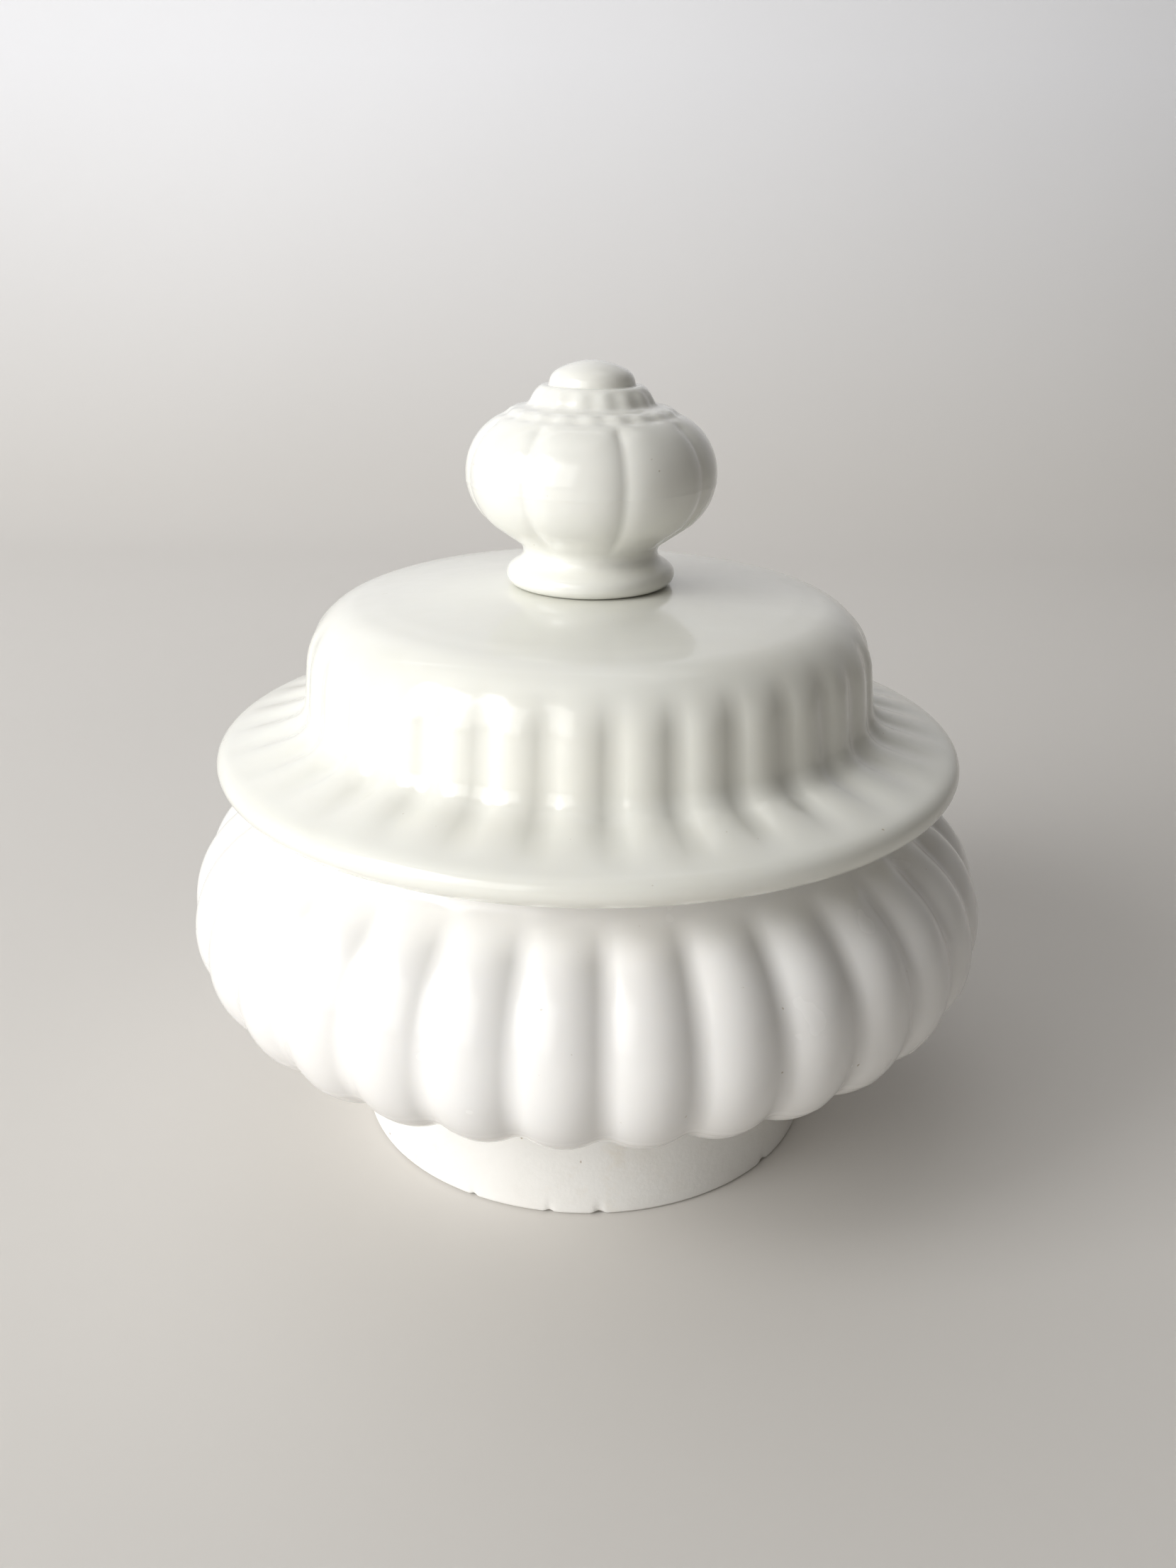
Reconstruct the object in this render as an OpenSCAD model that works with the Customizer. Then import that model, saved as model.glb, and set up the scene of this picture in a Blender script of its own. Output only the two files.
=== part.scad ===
// Covered cream jar in glazed earthenware: gadrooned bowl on a plain foot ring,
// and a fluted lid with a locating collar and a lobed knob.
// Millimetres, +Z up, origin at the centre of the foot's base.

/* [Foot] */
// Radius of the foot ring where it stands
foot_r = 48.8; // [40:0.1:60]
// Height of the foot ring, up to its seat under the bowl
foot_h = 30; // [24:0.1:36]
// Wall of the foot ring
foot_wall = 6; // [4:0.5:9]

/* [Bowl] */
// Largest radius of the belly, over the lobes
belly_r = 82.1; // [70:0.1:95]
// Height of the belly's widest line
belly_z = 50; // [40:0.1:60]
// Radius of the belly's curve from base to shoulder
belly_curve_r = 20; // [16:0.1:26]
// Number of lobes round the bowl and flutes round the lid
lobe_count = 32; // [16:2:48]
// Depth of the grooves between the bowl's lobes
groove_d = 1.8; // [0.5:0.1:3]
// Wall of the bowl, from the lobes' outside to the cavity
bowl_wall = 6; // [4:0.1:9]
// Radius of the mouth opening
mouth_r = 56; // [45:0.5:60]
// Outer radius of the lip round the mouth
lip_r = 62.5; // [58:0.5:68]

/* [Lid] */
// Height of the seat where the lid rests on the lip
seat_z = 79.5; // [70:0.5:90]
// Outer radius of the lid's brim
brim_r = 75; // [68:0.5:85]
// Thickness of the brim at its edge
brim_t = 6; // [4:0.5:9]
// Radius of the lid's wall under the shoulder, over the flutes
wall_r = 56.4; // [50:0.1:62]
// Lean of the wall, spreading downwards, in degrees
wall_lean = 7; // [0:1:15]
// Length of the leaning wall between the shoulder and the brim's sweep
wall_run = 8.4; // [4:0.1:12]
// Height of the lid's top at its centre
top_z = 115.8; // [105:0.1:125]
// Wall of the lid, from the flutes' outside to the cavity
lid_wall = 5.2; // [4:0.1:8]
// Depth of the flutes on the lid
flute_d = 1.1; // [0.4:0.1:2]
// Radius of the sweep from the wall out to the brim
cove_r = 4.5; // [3:0.5:8]
// Slope of the brim's top, in degrees
brim_slope = 18; // [5:1:25]
// Radius of the round shoulder between wall and top
shoulder_r = 12.9; // [8:0.1:16]

/* [Collar] */
// Outer radius of the collar that keeps the lid in the mouth
collar_r = 54.8; // [44:0.1:58]
// Thickness of the collar
collar_t = 4.5; // [3:0.5:7]
// Depth of the collar below the seat
collar_h = 8; // [5:0.5:14]

/* [Knob] */
// Largest radius of the knob, over its lobes
knob_r = 24.3; // [18:0.1:30]
// Height of the knob's widest line
knob_z = 137; // [125:0.1:150]
// Number of lobes round the knob
knob_lobes = 8; // [6:1:16]
// Radius of the knob's waist
waist_r = 13.1; // [9:0.1:16]
// Height of the knob's waist
waist_z = 122; // [119:0.1:125]
// Radius of the knob's spread foot
spread_r = 16.7; // [13:0.1:22]
// Height of the whole jar
jar_h = 157.8; // [140:0.1:175]

/* [Hidden] */
fine = 96;
lap = 3;
floor_step = 0.5;
groove_sharpness = 2.5;
lobe_steps = 5;
belly_rows = 12;
columns = lobe_count * lobe_steps;
belly_c = belly_r - belly_curve_r;
lip_bevel = 1.5;
foot_taper = 1.3;
foot_bevel = 0.8;
brim_z = seat_z + brim_t;
shoulder_c = wall_r - shoulder_r;
shoulder_z = 100;
cove_rows = 3;
shoulder_rows = 7;
flutes_end = 84;
flutes_fade = 40;
brim_share = 0.75;
rim_inset = 0.5;
rim_sink = 0.3;
dome_r = 361;
dome_rings = [36, 26];
knob_seat_z = 115.4;
ceiling_drop = 5.4;
seat_land_r = 17.5;
bulb_r = 11.9;
knob_c = knob_r - bulb_r;
groove_r = 3;
bulb_groove_d = 1;
groove_low = 65;
groove_top = 58;
bead_r = 2.1;
bead_top = 60;
waist_curve_r = 2;
flank = 53;
overlap = 0.05;
ring_r = 16;
ring_z = 148.2;
ring_edge = 0.9;
tier_r = 12.3;
tier_z = 149.5;
tier_edge = 3.8;
button_r = 8;
button_dome_r = 10;
pitch = 360 / lobe_count;
knob_pitch = 360 / knob_lobes;
bowl_turn = 2.6;
lid_turn = 4.3;
knob_turn = 15.2;
far = 120;

// How deep the groove is at a share of the way across a lobe, from -0.5 to 0.5.
function groove(share) = groove_d * pow(abs(2 * share), groove_sharpness);

// A point of the belly, at an angle round the jar and an angle up its curve.
function belly_point(turn, share, rise) =
    let(curve = belly_curve_r - groove(share))
    let(r = belly_c + curve * cos(rise))
    [r * cos(turn), r * sin(turn), belly_z + curve * sin(rise)];

// A level ring of points that closes the belly inside the pad or the lip.
function closing_ring(r, z) = [
    for (i = [0 : columns - 1])
        [r * cos(i * 360 / columns), r * sin(i * 360 / columns), z]
];

// How far across its lobe a column of points lies, from -0.5 to 0.5.
function lobe_share(i) =
    (i % lobe_steps) / lobe_steps - (i % lobe_steps > lobe_steps / 2 ? 1 : 0);

// A closed solid through rings of points, lowest ring first, with flat ends.
module ring_solid(points, last) {
    sides = [
        for (k = [0 : last - 1])
            for (i = [0 : columns - 1])
                let(next = (i + 1) % columns)
                for (half = [0, 1])
                    half == 0
                        ? [k * columns + i, (k + 1) * columns + i, (k + 1) * columns + next]
                        : [k * columns + i, (k + 1) * columns + next, k * columns + next]
    ];
    low_end = [for (i = [0 : columns - 1]) i];
    top_end = [for (i = [columns - 1 : -1 : 0]) last * columns + i];
    polyhedron(points = points, faces = concat([low_end], sides, [top_end]));
}

// The lobed belly: rings of points from the pad up the curve to the lip.
module belly() {
    points = concat(
        closing_ring(foot_r - lap, foot_h + lap),
        [
            for (k = [0 : belly_rows])
                for (i = [0 : columns - 1])
                    belly_point(i * 360 / columns, lobe_share(i), -90 + k * 180 / belly_rows)
        ],
        closing_ring(lip_r - lap, belly_z + belly_curve_r - lap)
    );
    ring_solid(points, belly_rows + 2);
}

// The lip that the lid rests on, and the pad that sits on the foot ring.
module lip_and_pad() {
    translate([0, 0, foot_h])
        cylinder(r = foot_r, h = 2 * lap, $fn = fine);
    rotate_extrude($fn = fine)
        polygon([
            [0, belly_z],
            [lip_r, belly_z],
            [lip_r, seat_z - lip_bevel],
            [lip_r - lip_bevel, seat_z],
            [0, seat_z]
        ]);
}

// The hollow inside the bowl, with the mouth above it.
module bowl_cavity() {
    rotate_extrude($fn = fine) {
        translate([belly_c, belly_z])
            circle(r = belly_curve_r - bowl_wall, $fn = fine);
        translate([0, belly_z - belly_curve_r + bowl_wall + floor_step])
            square([belly_c, 2 * (belly_curve_r - bowl_wall - floor_step)]);
    }
    translate([0, 0, belly_z])
        cylinder(r = mouth_r, h = far, $fn = fine);
}

// The bowl: a cast shell with convex lobes, open at the mouth.
module bowl() {
    color("ivory")
        difference() {
            union() {
                rotate([0, 0, bowl_turn + pitch / 2])
                    belly();
                lip_and_pad();
            }
            bowl_cavity();
        }
}

// The foot ring: a plain ring, a little narrower at the top, left unglazed.
module foot_ring() {
    color("linen")
        rotate_extrude($fn = fine)
            polygon([
                [foot_r - foot_wall, foot_bevel],
                [foot_r - foot_wall + foot_bevel, 0],
                [foot_r - foot_bevel, 0],
                [foot_r, foot_bevel],
                [foot_r - foot_taper, foot_h],
                [foot_r - foot_taper - foot_wall, foot_h]
            ]);
}

// A point beside a curve's centre.
function on_curve(r, z, radius, angle) = [r + radius * cos(angle), z + radius * sin(angle)];

// The height of the lid's slightly domed top at a radius.
function dome_z(r) = top_z - dome_r + sqrt(dome_r * dome_r - r * r);

// Where the wall ends and its sweep into the brim begins, and the centre of that sweep.
shoulder_end = on_curve(shoulder_c, shoulder_z, shoulder_r, wall_lean);
wall_end = on_curve(shoulder_end[0], shoulder_end[1], wall_run, wall_lean - 90);
cove_c = on_curve(wall_end[0], wall_end[1], cove_r, wall_lean);

// Where the sweep meets the brim, and where the brim's slope meets its round edge.
brim_start = on_curve(cove_c[0], cove_c[1], cove_r, 270 - brim_slope);
brim_end = [brim_r - brim_t / 2 - rim_inset, brim_z - rim_sink];

// The fluted outline from brim to top: each row is [radius, height, facing, share of the flutes' depth].
flute_rows = concat(
    [
        [brim_r - brim_t, seat_z + brim_t / 2, 0, 0],
        [brim_end[0], brim_end[1], 90 - brim_slope, 0],
        [
            (brim_start[0] + brim_end[0]) / 2,
            (brim_start[1] + brim_end[1]) / 2,
            90 - brim_slope,
            brim_share / 2
        ]
    ],
    [
        for (k = [0 : cove_rows])
            let(a = 270 - brim_slope - k * (90 - brim_slope - wall_lean) / cove_rows)
            let(p = on_curve(cove_c[0], cove_c[1], cove_r, a))
            [p[0], p[1], a - 180, brim_share + (1 - brim_share) * k / cove_rows]
    ],
    [
        for (k = [0 : shoulder_rows])
            let(a = wall_lean + k * (flutes_end - wall_lean) / shoulder_rows)
            let(p = on_curve(shoulder_c, shoulder_z, shoulder_r, a))
            [p[0], p[1], a, min(1, (flutes_end - a) / flutes_fade)]
    ],
    [for (r = dome_rings) [r, dome_z(r), 90, 0]],
    [[seat_land_r, knob_seat_z, 0, 0]]
);

// A point of the fluted top: the row's own point, sunk by the flute's depth there.
function flute_point(turn, share, row) =
    let(sink = flute_d * row[3] * pow(abs(2 * share), groove_sharpness))
    let(r = row[0] - sink * cos(row[2]))
    [r * cos(turn), r * sin(turn), row[1] - sink * sin(row[2])];

// The lid's fluted top: rings of points from inside the brim up to the knob's seat.
module fluted_top() {
    points = [
        for (row = flute_rows)
            for (i = [0 : columns - 1])
                flute_point(i * 360 / columns, lobe_share(i), row)
    ];
    ring_solid(points, len(flute_rows) - 1);
}

// The hollow under the lid.
module lid_cavity() {
    rotate_extrude($fn = fine)
        intersection() {
            translate([0, top_z - ceiling_drop - dome_r])
                circle(r = dome_r, $fn = fine);
            union() {
                translate([shoulder_c, shoulder_z])
                    circle(r = shoulder_r - lid_wall, $fn = fine);
                translate([0, seat_z - lap])
                    square([wall_r - lid_wall, shoulder_z - seat_z + lap]);
                translate([0, seat_z])
                    square([shoulder_c, far]);
            }
            square([far, knob_seat_z - ceiling_drop]);
        }
}

// Half the outline of a disc with a round edge, at the height of its middle.
module disc_outline(r, z, edge) {
    translate([0, z - edge])
        square([r - edge, 2 * edge]);
    translate([r - edge, z])
        circle(r = edge, $fn = fine);
}

// The brim's flat underside and round edge.
module brim() {
    rotate_extrude($fn = fine)
        disc_outline(brim_r, seat_z + brim_t / 2, brim_t / 2);
}

// The lid's cover: a hollow fluted top with a wide brim.
module lid_cover() {
    color("ivory")
        difference() {
            union() {
                rotate([0, 0, lid_turn + pitch / 2])
                    fluted_top();
                brim();
            }
            lid_cavity();
        }
}

// The collar under the lid that drops into the bowl's mouth.
module lid_collar() {
    color("ivory")
        rotate_extrude($fn = fine)
            polygon([
                [collar_r - collar_t, seat_z],
                [collar_r - collar_t, seat_z - collar_h],
                [collar_r - lip_bevel, seat_z - collar_h],
                [collar_r, seat_z - collar_h + lip_bevel],
                [collar_r, seat_z]
            ]);
}

// Half the outline of the knob's bulb.
module bulb_outline() {
    translate([0, knob_z - bulb_r])
        square([knob_c, 2 * bulb_r]);
    translate([knob_c, knob_z])
        circle(r = bulb_r, $fn = fine);
}

// A round groove that follows the bulb's curve in an upright plane.
module bulb_groove() {
    translate([knob_c, 0, knob_z])
        rotate([90, 0, 0])
            rotate([0, 0, -groove_low])
                rotate_extrude(angle = groove_low + groove_top, $fn = fine)
                    translate([bulb_r + groove_r - bulb_groove_d, 0])
                        circle(r = groove_r, $fn = fine);
}

// Half the outline of the stem: a round-edged foot, a narrow waist and the flank under the bulb.
module stem_outline() {
    bead_c = spread_r - bead_r;
    waist_c = waist_r + waist_curve_r;
    inside_waist = waist_curve_r - overlap;
    difference() {
        polygon([
            [0, knob_seat_z],
            [bead_c, knob_seat_z],
            on_curve(bead_c, knob_seat_z + bead_r, bead_r - overlap, bead_top),
            on_curve(waist_c, waist_z, inside_waist, bead_top + 180),
            on_curve(waist_c, waist_z, inside_waist, 180 - flank),
            on_curve(knob_c, knob_z, bulb_r - overlap, -flank),
            [0, knob_z]
        ]);
        translate([waist_c, waist_z])
            circle(r = waist_curve_r, $fn = fine);
    }
    translate([bead_c, knob_seat_z + bead_r])
        circle(r = bead_r, $fn = fine);
}

// Half the outline of the crown: a thin ring, a round tier and the domed button.
module crown_outline() {
    disc_outline(ring_r, ring_z, ring_edge);
    disc_outline(tier_r, tier_z, tier_edge);
    intersection() {
        translate([0, jar_h - button_dome_r])
            circle(r = button_dome_r, $fn = fine);
        translate([0, tier_z])
            square([button_r, far]);
    }
}

// The knob: a pressed, lobed bulb on a waisted stem, stuck to the lid.
module knob() {
    color("ivory")
        union() {
            difference() {
                rotate_extrude($fn = fine)
                    bulb_outline();
                for (i = [0 : knob_lobes - 1])
                    rotate([0, 0, knob_turn + i * knob_pitch])
                        bulb_groove();
            }
            rotate_extrude($fn = fine)
                stem_outline();
            rotate_extrude($fn = fine)
                crown_outline();
        }
}

bowl();
foot_ring();
lid_cover();
lid_collar();
knob();
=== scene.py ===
import math

import bpy
import numpy as np
from mathutils import Matrix, Vector


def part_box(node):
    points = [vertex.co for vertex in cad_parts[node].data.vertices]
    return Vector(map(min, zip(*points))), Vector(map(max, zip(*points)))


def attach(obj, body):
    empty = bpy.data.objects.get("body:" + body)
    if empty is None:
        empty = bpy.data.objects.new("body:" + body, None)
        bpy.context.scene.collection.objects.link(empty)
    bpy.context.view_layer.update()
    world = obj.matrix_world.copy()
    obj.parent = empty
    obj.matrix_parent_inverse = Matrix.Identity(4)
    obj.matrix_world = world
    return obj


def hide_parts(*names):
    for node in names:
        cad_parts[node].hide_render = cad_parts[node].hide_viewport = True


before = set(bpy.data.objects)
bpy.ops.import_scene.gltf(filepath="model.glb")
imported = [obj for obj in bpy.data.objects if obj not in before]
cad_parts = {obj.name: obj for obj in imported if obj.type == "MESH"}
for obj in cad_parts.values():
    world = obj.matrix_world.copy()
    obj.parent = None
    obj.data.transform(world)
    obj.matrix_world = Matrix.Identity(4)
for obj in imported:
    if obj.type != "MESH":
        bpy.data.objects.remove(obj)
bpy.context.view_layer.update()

MM = 0.001

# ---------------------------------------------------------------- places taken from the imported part
bowl_lo, bowl_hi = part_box("bowl")
foot_lo, foot_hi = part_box("foot_ring")
lid_lo, lid_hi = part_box("lid_cover")
collar_lo, collar_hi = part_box("lid_collar")
knob_lo, knob_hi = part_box("knob")

BELLY_R = bowl_hi[0] / MM
SEAT_Z = lid_lo[2] / MM
BRIM_R = lid_hi[0] / MM
FOOT_R = foot_hi[0] / MM
FOOT_H = foot_hi[2] / MM
KNOB_SEAT = knob_lo[2] / MM
JAR_H = knob_hi[2] / MM
COLLAR_R = collar_hi[0] / MM
COLLAR_LOW = collar_lo[2] / MM

# How many lobes go round, and the angle of one groove in degrees
LOBES = 32
KNOB_LOBES = 8
BOWL_TURN = 2.6
LID_TURN = 4.3
KNOB_TURN = 15.2


# ---------------------------------------------------------------- outlines, as (radius, height) in millimetres
def arc(cx, cz, r, start, end, steps):
    """Points of a round curve between two angles in degrees, counted from straight outwards."""
    a = np.radians(np.linspace(start, end, steps))
    return [(cx + r * math.cos(t), cz + r * math.sin(t)) for t in a]


def line(p, q, steps):
    """Points of a straight run."""
    return [(p[0] + (q[0] - p[0]) * t, p[1] + (q[1] - p[1]) * t) for t in np.linspace(0, 1, steps)]


def smooth(path, spacing, passes=3):
    """The same outline as evenly spaced points, with its small corners rounded off."""
    p = np.array(path)
    step = np.hypot(*np.diff(p, axis=0).T)
    p = p[np.concatenate([[True], step > 1e-6])]
    run = np.concatenate([[0], np.cumsum(np.hypot(*np.diff(p, axis=0).T))])
    at = np.linspace(0, run[-1], max(8, int(run[-1] / spacing)))
    q = np.stack([np.interp(at, run, p[:, 0]), np.interp(at, run, p[:, 1])], 1)
    for _ in range(passes):
        q[1:-1] = (q[:-2] + 2 * q[1:-1] + q[2:]) / 4
    return q


def ramp(x, a, b):
    """0 below a, 1 above b, with an even start and end."""
    t = np.clip((x - a) / (b - a), 0, 1)
    return t * t * (3 - 2 * t)


def lathe(name, path, columns, push=None, capped=False):
    """Turns an outline round Z. push(angle, radius, height) moves each point along the outline's own normal.
    A capped outline starts and ends beside the axis; any other is a ring's section and closes on itself."""
    n = len(path)
    tangent = np.gradient(path, axis=0)
    tangent /= np.linalg.norm(tangent, axis=1)[:, None] + 1e-12
    normal = np.stack([tangent[:, 1], -tangent[:, 0]], 1)
    turn = np.linspace(0, 2 * math.pi, columns, endpoint=False)
    radius = np.repeat(path[:, :1], columns, 1)
    height = np.repeat(path[:, 1:], columns, 1)
    angle = np.repeat(turn[None], n, 0)
    if push is not None:
        move = push(angle, radius, height)
        radius = radius + move * normal[:, :1]
        height = height + move * normal[:, 1:]
    verts = np.stack([radius * np.cos(angle), radius * np.sin(angle), height], -1).reshape(-1, 3) * MM
    i = np.arange(n - 1)[:, None] * columns
    j = np.arange(columns)[None]
    k = (j + 1) % columns
    quads = np.stack([i + j, i + k, i + columns + k, i + columns + j], -1).reshape(-1, 4)
    faces = quads.tolist()
    verts = verts.tolist()
    last = (n - 1) * columns
    if capped:
        low = len(verts)
        high = low + 1
        verts += [(0, 0, path[0, 1] * MM), (0, 0, path[-1, 1] * MM)]
        for c in range(columns):
            d = (c + 1) % columns
            faces.append((low, d, c))
            faces.append((high, last + c, last + d))
    else:
        for c in range(columns):
            d = (c + 1) % columns
            faces.append((last + c, last + d, d, c))
    mesh = bpy.data.meshes.new(name)
    mesh.from_pydata(verts, [], faces)
    mesh.validate()
    mesh.update()
    for p in mesh.polygons:
        p.use_smooth = True
    o = bpy.data.objects.new(name, mesh)
    bpy.context.scene.collection.objects.link(o)
    return o


def lobed(angle, count, turn, power, soft):
    """0 along the crest of each lobe, 1 in the groove between two; turn is a groove's angle in degrees.
    power makes the crest flatter and the groove narrower; soft is the share of a lobe rounded at its groove."""
    share = (angle - math.radians(turn)) * count / (2 * math.pi) % 1
    t = np.abs(1 - 2 * share)
    edge = 1 - soft
    bend = power * edge ** (power - 1) / (2 * soft)
    deepest = edge ** power + bend * soft ** 2
    return np.where(t < edge, t ** power, deepest - bend * (1 - t) ** 2) / deepest


# ---------------------------------------------------------------- the bowl
BELLY_Z = 49.4
LOW_R = 18.9  # curve of the belly below its widest line
TOP_R = 24.5  # curve of the belly above it
BOWL_WALL = 6.0
LIP_R = 62.5
MOUTH_R = 56.0
LIP_EDGE = 1.4
GADROON_DEPTH = 1.6


def bowl_path():
    low_c = BELLY_R - LOW_R
    top_c = BELLY_R - TOP_R
    rim = SEAT_Z - LIP_EDGE
    p = line((1.0, FOOT_H), (FOOT_R + 0.3, FOOT_H), 6)
    p += arc(FOOT_R + 0.3, FOOT_H + 1.6, 1.6, -90, 0, 5)
    p += arc(low_c, BELLY_Z, LOW_R, -104, 0, 60)
    p += arc(top_c, BELLY_Z, TOP_R, 2, 68, 36)
    p += arc(LIP_R + 7.1, SEAT_Z - 3.0, 5.6, 215, 180, 6)
    p += arc(LIP_R, rim, LIP_EDGE, 0, 90, 8)
    p += arc(MOUTH_R + LIP_EDGE, rim, LIP_EDGE, 90, 180, 8)
    p += line((MOUTH_R, SEAT_Z - 2.5), (MOUTH_R, SEAT_Z - 8.0), 6)
    p += arc(top_c, BELLY_Z, TOP_R - BOWL_WALL, 92, 2, 40)
    p += arc(low_c, BELLY_Z, LOW_R - BOWL_WALL, 0, -88, 40)
    floor_z = BELLY_Z - LOW_R + BOWL_WALL
    p += line((low_c - 4, floor_z - 0.1), (1.0, floor_z + 0.3), 20)
    return smooth(p, 0.75)


def bowl_push(angle, radius, height):
    """Grooves between the lobes, a slightly uneven surface and a faint mould seam low on the belly."""
    outside = np.arange(len(radius))[:, None] < np.argmax(height[:, 0])
    start = ramp(radius, FOOT_R + 3.0, FOOT_R + 10.0)
    end = 1 - ramp(height, SEAT_Z - 10.5, SEAT_Z - 5.5)
    depth = GADROON_DEPTH * lobed(angle, LOBES, BOWL_TURN, 2.0, 0.27)
    hand = 0.10 * np.sin(3 * angle + 0.7) * np.sin(height * 0.09)
    hand = hand + 0.07 * np.sin(7 * angle + height * 0.11)
    seam = 0.10 * np.exp(-((height - 37.5) / 0.28) ** 2) * (radius > 65)
    return -depth * start * end * outside + (hand + seam) * outside * start * end


# ---------------------------------------------------------------- the foot ring
FOOT_WALL = 6.0
# Small chips along the standing edge: angle and half-width in degrees, depth in millimetres
FOOT_CHIPS = (
    (-98, 0.8, 0.5),
    (-86.4, 1.0, 0.8),
    (-117, 0.7, 0.5),
    (-40, 1.2, 0.7),
    (70, 1.1, 0.8),
    (160, 0.9, 0.6),
)


def foot_path():
    inside = FOOT_R - FOOT_WALL
    p = line((inside - 1.1, FOOT_H), (inside, 1.0), 24)
    p += arc(inside + 0.9, 0.9, 0.9, 180, 270, 6)
    p += arc(FOOT_R - 0.8, 0.8, 0.8, -90, 0, 6)
    p += line((FOOT_R - 0.05, 1.4), (FOOT_R - 1.3, FOOT_H - 0.2), 24)
    p += line((FOOT_R - 1.6, FOOT_H), (inside - 0.9, FOOT_H), 5)
    return np.array(p)


def foot_push(angle, radius, height):
    """A slightly wavy wall, and the chips."""
    wave = 0.10 * np.sin(2 * angle + 1.1) + 0.06 * np.sin(5 * angle + height * 0.2)
    chips = np.zeros_like(angle)
    near_edge = np.exp(-np.maximum(height - 0.3, 0) / 0.9) * (radius > FOOT_R - 2)
    for at, wide, deep in FOOT_CHIPS:
        off = (np.degrees(angle) - at + 180) % 360 - 180
        chips += deep * np.exp(-(off / wide) ** 2) * near_edge
    return -chips - 0.12 + wave * ramp(height, 1, 6) * (height < FOOT_H - 0.5)


# ---------------------------------------------------------------- the lid's cover
SHOULDER_C = 43.5
SHOULDER_Z = 100
SHOULDER_R = 12.9
COVE_C = (61.7, 93.6)
COVE_R = 4.5
DOME_R = 361
BRIM_EDGE = 3.0
LID_HOLLOW_R = 51.4
FLUTE_DEPTH = 0.80


def dome(z, inner, outer, steps):
    """The almost flat top between two distances along it from the axis; z is its height at the axis."""
    return arc(0, z - DOME_R, DOME_R, 90 - math.degrees(inner / DOME_R), 90 - math.degrees(outer / DOME_R), steps)


def lid_path():
    brim_top = SEAT_Z + 2 * BRIM_EDGE
    p = line((1.0, KNOB_SEAT), (17.6, KNOB_SEAT), 8)
    p += dome(KNOB_SEAT + 0.4, 22, 42, 16)
    p += arc(SHOULDER_C, SHOULDER_Z, SHOULDER_R, 84, 7, 50)
    p += arc(*COVE_C, COVE_R, 187, 252, 16)
    p += arc(BRIM_R - BRIM_EDGE, brim_top - BRIM_EDGE, BRIM_EDGE, 72, -90, 24)
    p += line((BRIM_R - BRIM_EDGE - 1, SEAT_Z), (LID_HOLLOW_R + 0.8, SEAT_Z), 14)
    p += arc(LID_HOLLOW_R + 0.8, SEAT_Z + 0.8, 0.8, -90, -180, 4)
    p += line((LID_HOLLOW_R, SEAT_Z + 2), (LID_HOLLOW_R, SHOULDER_Z - 1), 12)
    p += arc(SHOULDER_C, SHOULDER_Z, 7.8, 0, 80, 20)
    p += dome(KNOB_SEAT - 5, 42, 1, 20)
    return smooth(p[::-1], 0.7)


def lid_push(angle, radius, height):
    """Flutes from the shoulder down the wall and out across the brim, and a slightly uneven surface."""
    outside = np.arange(len(radius))[:, None] > np.argmax(radius[:, 0])
    start = ramp(110.8 - height, 0.0, 9.0)
    end = 1 - ramp(radius, 59.5, 74.0)
    depth = FLUTE_DEPTH * lobed(angle, LOBES, LID_TURN, 2.0, 0.38)
    hand = 0.07 * np.sin(3 * angle + 2.1) * ramp(radius, 30, 50) + 0.05 * np.sin(5 * angle + height * 0.15)
    hand = hand * outside * ramp(radius, 18, 26) * (1 - ramp(radius, 71.5, 73.5))
    return -depth * start * end * outside + hand


# ---------------------------------------------------------------- the collar
COLLAR_T = 4.5


def collar_path():
    inside = COLLAR_R - COLLAR_T
    p = line((inside, SEAT_Z), (inside, COLLAR_LOW + 0.9), 8)
    p += arc(inside + 0.9, COLLAR_LOW + 0.9, 0.9, 180, 270, 5)
    p += arc(COLLAR_R - 1.5, COLLAR_LOW + 1.5, 1.5, -90, 0, 7)
    p += line((COLLAR_R, COLLAR_LOW + 2), (COLLAR_R, SEAT_Z), 8)
    p += line((COLLAR_R - 0.5, SEAT_Z), (inside + 0.3, SEAT_Z), 4)
    return np.array(p)


# ---------------------------------------------------------------- the knob
BULB_C = 12.4
BULB_R = 11.9
BULB_LIFT = 21.6  # height of the bulb's middle above the knob's seat
BUTTON_DOME_R = 13.75
KNOB_GROOVE_DEPTH = 0.55
BEADS = 20
SCALLOPS = 16
CROWN_RIPPLE = 0.18  # depth between the ring's beads and between the tier's scallops


def knob_path():
    """From the seat: round foot, waist, bulb, ring, sloping tier, button and its domed top."""
    z = KNOB_SEAT
    p = line((1.0, z), (14.6, z), 8)
    p += arc(14.6, z + 2.2, 2.1, -85, 60, 14)
    p += arc(15.1, z + 6.65, 2.0, 240, 127, 16)
    p += arc(BULB_C, z + BULB_LIFT, BULB_R, -53, 70, 56)
    p += arc(14.9, 148.05, 1.3, 5, 80, 10)
    p += line((14.3, 149.42), (12.5, 149.75), 4)
    p += arc(7.1, 148.9, 5.1, 12, 68, 14)
    p += arc(5.5, JAR_H - 4.2, 2.75, -15, 60, 10)
    p += arc(0, JAR_H - BUTTON_DOME_R, BUTTON_DOME_R, 60, 86, 12)
    return smooth(p, 0.26, 14)


def ripple(angle, count, turn):
    """0 to CROWN_RIPPLE, count times round."""
    return CROWN_RIPPLE * (0.5 - 0.5 * np.cos(count * (angle - turn)))


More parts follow.
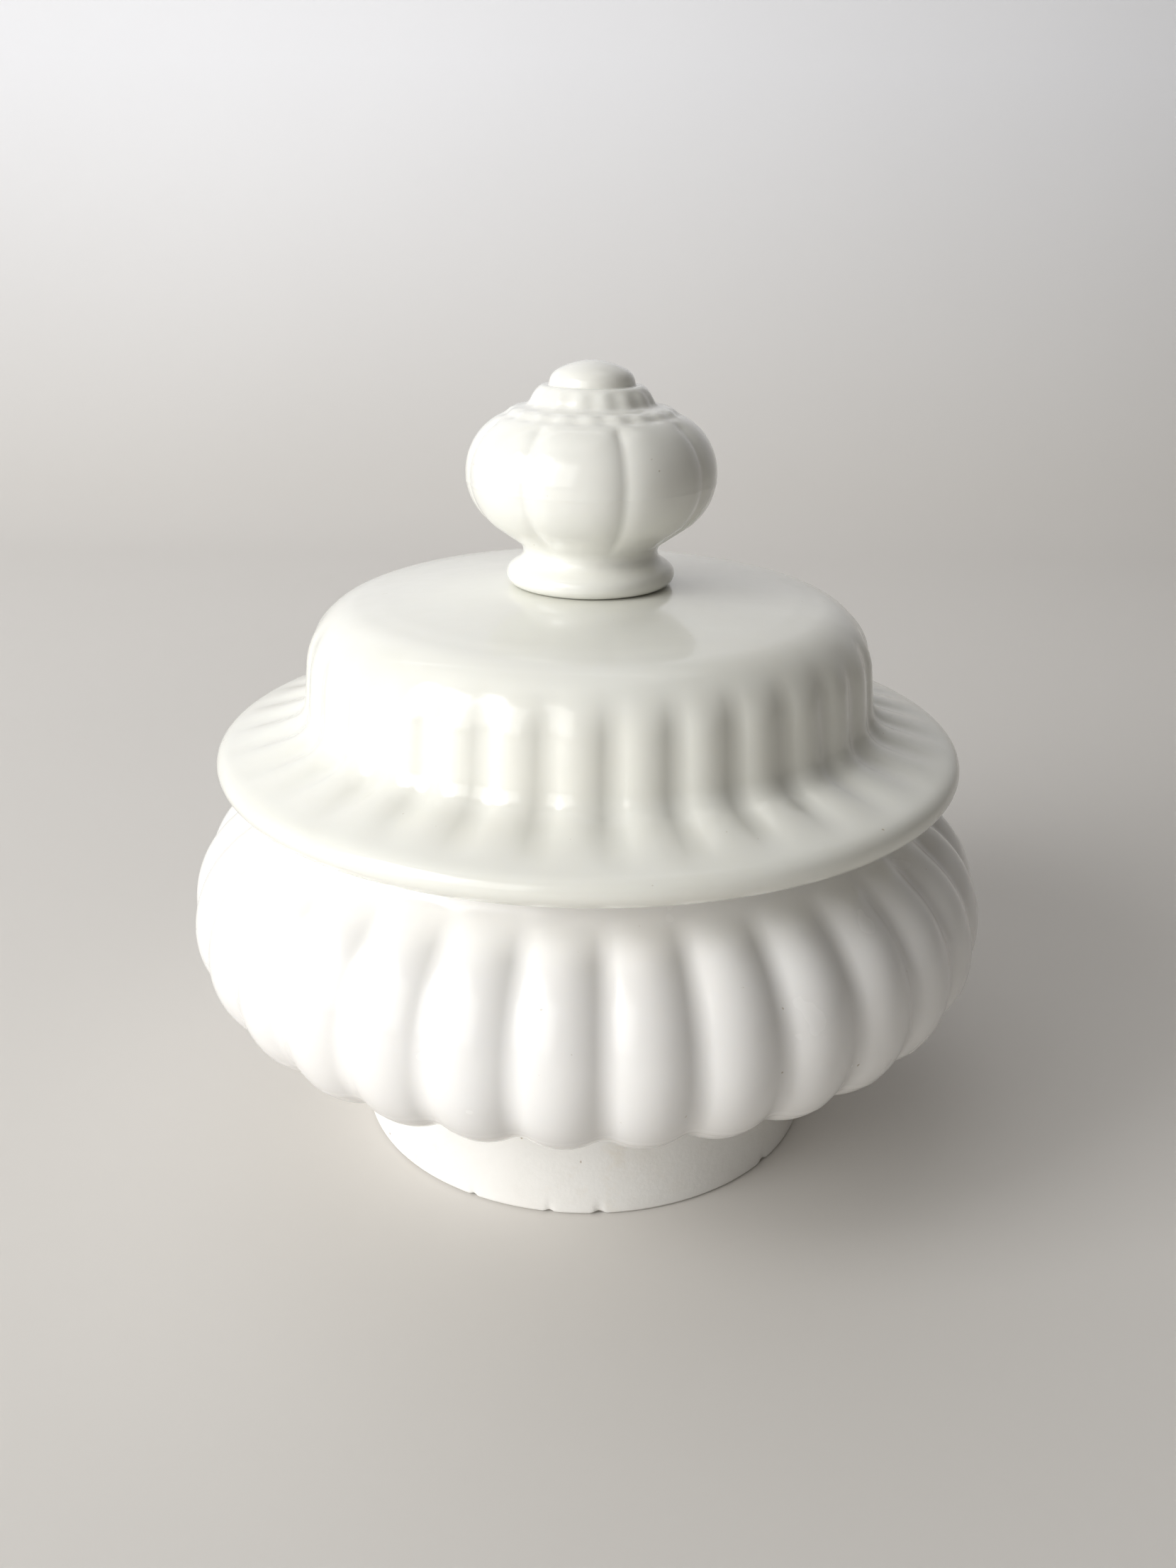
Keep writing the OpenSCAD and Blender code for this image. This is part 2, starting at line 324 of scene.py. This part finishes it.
def knob_push(angle, radius, height):
    """Grooves between the bulb's lobes, beads on the ring, scallops on the tier and a faint mould seam."""
    bulb = ramp(height, 122.0, 129.0) * (1 - ramp(height, 146.6, 148.2))
    grooves = KNOB_GROOVE_DEPTH * lobed(angle, KNOB_LOBES, KNOB_TURN, 4.0, 0.09)
    ring = ramp(height, 147.6, 148.3) * (1 - ramp(height, 149.2, 149.6)) * ramp(radius, 13.6, 15.2)
    tier = ramp(height, 149.6, 150.4) * (1 - ramp(height, 152.2, 153.4)) * ramp(radius, 8.8, 11.0)
    seam = 0.07 * np.exp(-((height - 135.6) / 0.22) ** 2) * (radius > 18)
    return -grooves * bulb - ripple(angle, BEADS, 0.3) * ring - ripple(angle, SCALLOPS, 0.2) * tier + seam


# ---------------------------------------------------------------- finishes
def nodes_of(name):
    """A new material with its node tree, its shader and the object's own coordinates."""
    m = bpy.data.materials.new(name)
    m.use_nodes = True
    t = m.node_tree
    t.nodes.clear()
    out = t.nodes.new("ShaderNodeOutputMaterial")
    shader = t.nodes.new("ShaderNodeBsdfPrincipled")
    t.links.new(shader.outputs[0], out.inputs[0])
    where = t.nodes.new("ShaderNodeTexCoord")
    return m, t, shader, where.outputs["Object"]


def noise(t, where, scale, detail=3.0, rough=0.5):
    """Cloudy noise from 0 to 1; scale counts its clouds per metre."""
    n = t.nodes.new("ShaderNodeTexNoise")
    n.inputs["Scale"].default_value = scale
    n.inputs["Detail"].default_value = detail
    n.inputs["Roughness"].default_value = rough
    t.links.new(where, n.inputs["Vector"])
    return n.outputs[0]


def steps(t, value, stops):
    """A colour ramp through (position, colour) stops."""
    r = t.nodes.new("ShaderNodeValToRGB")
    while len(r.color_ramp.elements) < len(stops):
        r.color_ramp.elements.new(0.5)
    for e, (at, c) in zip(r.color_ramp.elements, stops):
        e.position = at
        e.color = (*c, 1)
    t.links.new(value, r.inputs[0])
    return r.outputs[0]


def mix(t, how, amount, a, b):
    """Two colours mixed; amount is a number or another node's output."""
    m = t.nodes.new("ShaderNodeMix")
    m.data_type = "RGBA"
    m.blend_type = how
    if isinstance(amount, (int, float)):
        m.inputs[0].default_value = amount
    else:
        t.links.new(amount, m.inputs[0])
    t.links.new(a, m.inputs[6])
    t.links.new(b, m.inputs[7])
    return m.outputs[2]


def grey(v):
    return (v, v, v)


def bump(t, shader, height, strength, distance):
    """Fine relief from a height between 0 and 1, distance metres deep."""
    b = t.nodes.new("ShaderNodeBump")
    b.inputs["Strength"].default_value = strength
    b.inputs["Distance"].default_value = distance
    t.links.new(height, b.inputs["Height"])
    t.links.new(b.outputs[0], shader.inputs["Normal"])


def glaze(name, light, warm, specks, matt):
    """A glossy white glaze: soft clouds between two colours, a slight ripple and a few pinholes.
    specks is the noise above which pinholes show, matt the lowest roughness."""
    m, t, shader, where = nodes_of(name)
    cloud = steps(t, noise(t, where, 22, 4, 0.55), [(0.35, light), (0.72, warm)])
    spot = noise(t, where, 620, 1, 0.4)
    dots = steps(t, spot, [(specks, grey(1.0)), (specks + 0.04, (0.66, 0.60, 0.52))])
    colour = mix(t, "MULTIPLY", 1.0, cloud, dots)
    t.links.new(colour, shader.inputs["Base Color"])
    gloss = steps(t, noise(t, where, 60, 3, 0.6), [(0.3, grey(matt)), (0.8, grey(matt + 0.10))])
    t.links.new(gloss, shader.inputs["Roughness"])
    shader.inputs["IOR"].default_value = 1.52
    shader.inputs["Coat Weight"].default_value = 0.4
    shader.inputs["Coat Roughness"].default_value = matt * 0.5
    shader.inputs["Subsurface Weight"].default_value = 0.10
    shader.inputs["Subsurface Radius"].default_value = (1.0, 0.9, 0.75)
    shader.inputs["Subsurface Scale"].default_value = 0.0015
    bump(t, shader, noise(t, where, 140, 3, 0.5), 0.10, 0.0004)
    return m


def bare_clay(name):
    """Unglazed, wiped clay: matte and warm, with faint stains and a fine grain."""
    m, t, shader, where = nodes_of(name)
    shades = [(0.3, (0.84, 0.82, 0.78)), (0.55, (0.88, 0.87, 0.84)), (0.8, (0.86, 0.83, 0.77))]
    cloud = steps(t, noise(t, where, 30, 5, 0.6), shades)
    stain = steps(t, noise(t, where, 75, 5, 0.65), [(0.60, grey(1.0)), (0.78, (0.93, 0.88, 0.80))])
    dots = steps(t, noise(t, where, 640, 1, 0.4), [(0.79, grey(1.0)), (0.83, (0.50, 0.42, 0.34))])
    stained = mix(t, "MULTIPLY", 0.8, cloud, stain)
    colour = mix(t, "MULTIPLY", 1.0, stained, dots)
    t.links.new(colour, shader.inputs["Base Color"])
    rough = steps(t, noise(t, where, 90, 4, 0.6), [(0.3, grey(0.52)), (0.8, grey(0.74))])
    t.links.new(rough, shader.inputs["Roughness"])
    bump(t, shader, noise(t, where, 420, 6, 0.65), 0.22, 0.0005)
    return m


bowl_glaze = glaze("bowl_glaze", (0.90, 0.89, 0.87), (0.88, 0.86, 0.83), 0.80, 0.20)
lid_glaze = glaze("lid_glaze", (0.86, 0.86, 0.80), (0.83, 0.82, 0.75), 0.81, 0.12)
knob_glaze = glaze("knob_glaze", (0.86, 0.86, 0.81), (0.83, 0.82, 0.76), 0.81, 0.14)
foot_clay = bare_clay("bare_clay")


def piece(o, material, slot, body, *nodes):
    """Dresses a piece, hangs it on the body that carries it and hides the CAD nodes it stands in for."""
    o.data.materials.append(material)
    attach(o, body)
    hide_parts(*nodes)
    return o


# Points round each piece
LOBED_COLUMNS = 1152
FOOT_COLUMNS = 720
COLLAR_COLUMNS = 360
KNOB_COLUMNS = 640

bowl = lathe("jar_bowl", bowl_path(), LOBED_COLUMNS, bowl_push, capped=True)
foot = lathe("jar_foot_ring", foot_path(), FOOT_COLUMNS, foot_push)
lid = lathe("jar_lid_cover", lid_path(), LOBED_COLUMNS, lid_push, capped=True)
collar = lathe("jar_lid_collar", collar_path(), COLLAR_COLUMNS)
knob = lathe("jar_knob", knob_path(), KNOB_COLUMNS, knob_push, capped=True)
piece(bowl, bowl_glaze, "bowl_glaze", "jar", "bowl")
piece(foot, foot_clay, "bare_clay", "jar", "foot_ring")
piece(lid, lid_glaze, "lid_glaze", "lid", "lid_cover")
piece(collar, lid_glaze, "lid_glaze", "lid", "lid_collar")
piece(knob, knob_glaze, "knob_glaze", "lid", "knob")


# ---------------------------------------------------------------- floor, light and camera
def floor_material():
    """Pale warm grey underfoot, turning to an off-white wall behind."""
    m, t, shader, where = nodes_of("studio_floor")
    split = t.nodes.new("ShaderNodeSeparateXYZ")
    t.links.new(where, split.inputs[0])
    rise = t.nodes.new("ShaderNodeMapRange")
    rise.inputs["From Min"].default_value = 0.02
    rise.inputs["From Max"].default_value = 0.30
    t.links.new(split.outputs[2], rise.inputs[0])
    cloud = noise(t, where, 1.5, 3, 0.5)
    low = steps(t, cloud, [(0.3, (0.67, 0.645, 0.61)), (0.7, (0.70, 0.675, 0.64))])
    high = steps(t, cloud, [(0.3, (0.82, 0.82, 0.84)), (0.7, (0.84, 0.84, 0.86))])
    t.links.new(mix(t, "MIX", rise.outputs[0], low, high), shader.inputs["Base Color"])
    rough = steps(t, noise(t, where, 8, 3, 0.5), [(0.3, grey(0.55)), (0.7, grey(0.65))])
    t.links.new(rough, shader.inputs["Roughness"])
    bump(t, shader, noise(t, where, 300, 3, 0.5), 0.05, 0.0005)
    return m


# The backdrop, in metres: how far the floor reaches to the front, back and sides, its bend and its wall
FLOOR_FRONT = -1.6
FLOOR_BACK = 0.55
FLOOR_SIDE = 2.2
BEND_R = 0.35
WALL_TOP = 2.2


def sweep():
    """A floor that curves up into a wall far behind the jar, open to the front."""
    profile = [(FLOOR_FRONT, 0.0), (FLOOR_BACK, 0.0)]
    for a in np.linspace(0.05, math.pi / 2, 24):
        profile.append((FLOOR_BACK + BEND_R * math.sin(a), BEND_R - BEND_R * math.cos(a)))
    profile += [(0.90, WALL_TOP)]
    verts = []
    for y, z in profile:
        verts += [(-FLOOR_SIDE, y, z), (FLOOR_SIDE, y, z)]
    faces = [(2 * i, 2 * i + 1, 2 * i + 3, 2 * i + 2) for i in range(len(profile) - 1)]
    mesh = bpy.data.meshes.new("studio_sweep")
    mesh.from_pydata(verts, [], faces)
    mesh.update()
    for p in mesh.polygons:
        p.use_smooth = True
    o = bpy.data.objects.new("studio_sweep", mesh)
    bpy.context.scene.collection.objects.link(o)
    o.data.materials.append(floor_material())


def area(name, place, aim, width, height, power, colour):
    """A soft rectangular light at a place, turned towards its aim; metres and watts."""
    light = bpy.data.lights.new(name, "AREA")
    light.shape = "RECTANGLE"
    light.size = width
    light.size_y = height
    light.energy = power
    light.color = colour
    o = bpy.data.objects.new(name, light)
    o.location = place
    o.rotation_euler = (Vector(aim) - Vector(place)).to_track_quat("-Z", "Y").to_euler()
    bpy.context.scene.collection.objects.link(o)


sweep()
area("window_left", (-0.82, -0.46, 0.47), (0, 0, 0.12), 0.42, 0.90, 6.7, (0.98, 0.99, 1.0))
area("wall_left", (-1.35, -0.95, 0.75), (0, 0, 0.10), 1.2, 1.2, 7.2, (1.0, 0.998, 0.99))
area("wall_front", (-0.95, -1.20, 0.70), (0, 0, 0.10), 1.3, 1.2, 8.2, (1.0, 0.995, 0.98))
area("sky_top", (-0.3, 0.2, 1.3), (0, 0, 0.08), 1.4, 1.4, 2.9, (1.0, 0.995, 0.985))
area("wall_wash", (-0.4, 0.30, 0.90), (-0.25, 1.0, 0.62), 1.2, 0.4, 2.8, (0.97, 0.98, 1.0))

world = bpy.data.worlds.new("room")
world.use_nodes = True
room_light = world.node_tree.nodes["Background"]
room_light.inputs["Color"].default_value = (0.88, 0.84, 0.78, 1)
room_light.inputs["Strength"].default_value = 0.13
bpy.context.scene.world = world

# The camera, measured in brim radii, with its tilts in radians; the focal length is for the 2212-high image
UNIT = BRIM_R * MM
CAMERA_BACK = 3.606
CAMERA_HEIGHT = 2.397
CAMERA_PITCH = 0.3788
CAMERA_ROLL = 0.0106
SENSOR = 36
FOCAL_PIXELS = 1950
IMAGE_HEIGHT = 2212

camera = bpy.data.cameras.new("camera")
camera.sensor_width = SENSOR
camera.lens = SENSOR * FOCAL_PIXELS / IMAGE_HEIGHT
view = bpy.data.objects.new("camera", camera)
bpy.context.scene.collection.objects.link(view)
place = Vector((0, -CAMERA_BACK * UNIT, CAMERA_HEIGHT * UNIT))
look = Matrix.Rotation(math.pi / 2 - CAMERA_PITCH, 4, "X") @ Matrix.Rotation(CAMERA_ROLL, 4, "Z")
view.matrix_world = Matrix.Translation(place) @ look
camera.clip_start = 0.01
bpy.context.scene.camera = view
bpy.context.scene.view_settings.view_transform = "Standard"
